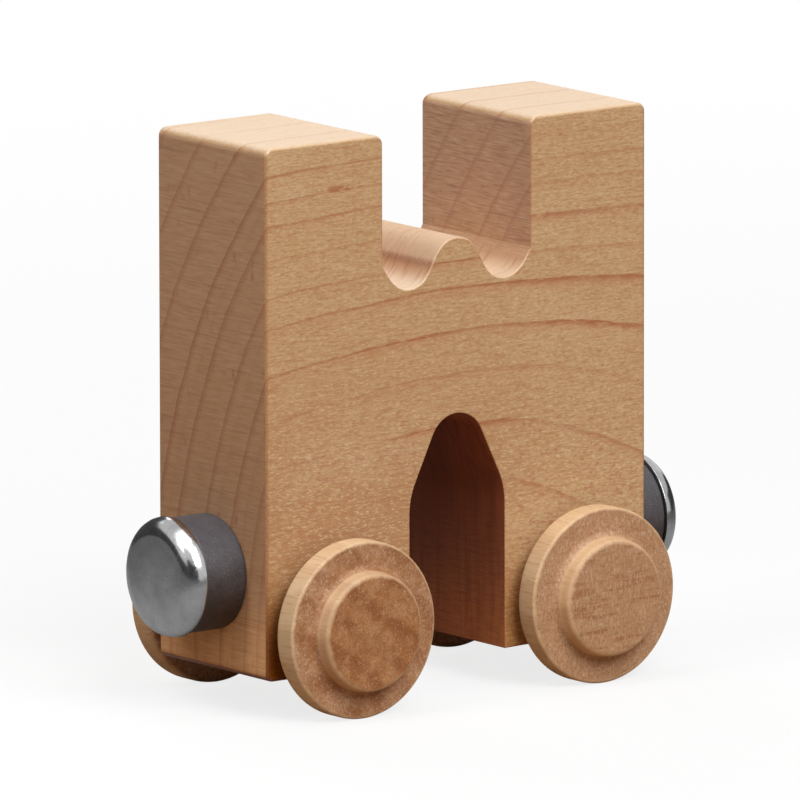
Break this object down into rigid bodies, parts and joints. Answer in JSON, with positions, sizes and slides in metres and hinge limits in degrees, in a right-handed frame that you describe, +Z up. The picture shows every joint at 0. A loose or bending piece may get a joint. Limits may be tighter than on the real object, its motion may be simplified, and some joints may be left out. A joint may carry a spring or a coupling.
{
  "type": "letter train car",
  "caption": "Wooden toy train car cut as a capital letter, rolling on turned wheels and coupled by capped magnets at both ends.",
  "frame": {"origin": "on the ground under the middle of the car, between the four wheels", "axes": "+X along the car towards its rear coupler, +Y across it away from the letter's front face, +Z up"},
  "size_m": [0.0662, 0.0326, 0.0614],
  "materials": {
    "block_maple": "clear-sanded maple with reddish growth lines",
    "wheel_maple": "turned maple, end grain on the faces",
    "axle_birch": "plain birch dowel",
    "magnet_ferrite": "matte dark grey ferrite",
    "cap_plated_steel": "polished plated steel"
  },
  "bodies": {
    "car_body": {"letter_block": "block_maple", "front_magnet": "magnet_ferrite", "rear_magnet": "magnet_ferrite", "front_cap_nail": "cap_plated_steel", "rear_cap_nail": "cap_plated_steel"},
    "front_wheelset": {"front_axle": "axle_birch", "front_left_wheel": "wheel_maple", "front_right_wheel": "wheel_maple"},
    "rear_wheelset": {"rear_axle": "axle_birch", "rear_left_wheel": "wheel_maple", "rear_right_wheel": "wheel_maple"}
  },
  "joints": [
    {"name": "front_wheels_roll", "type": "hinge", "parent": "car_body", "child": "front_wheelset", "pos_m": [-0.0161, 0, 0.00953], "axis": [0, 1, 0], "continuous": true},
    {"name": "rear_wheels_roll", "type": "hinge", "parent": "car_body", "child": "rear_wheelset", "pos_m": [0.0161, 0, 0.00953], "axis": [0, 1, 0], "continuous": true}
  ]
}
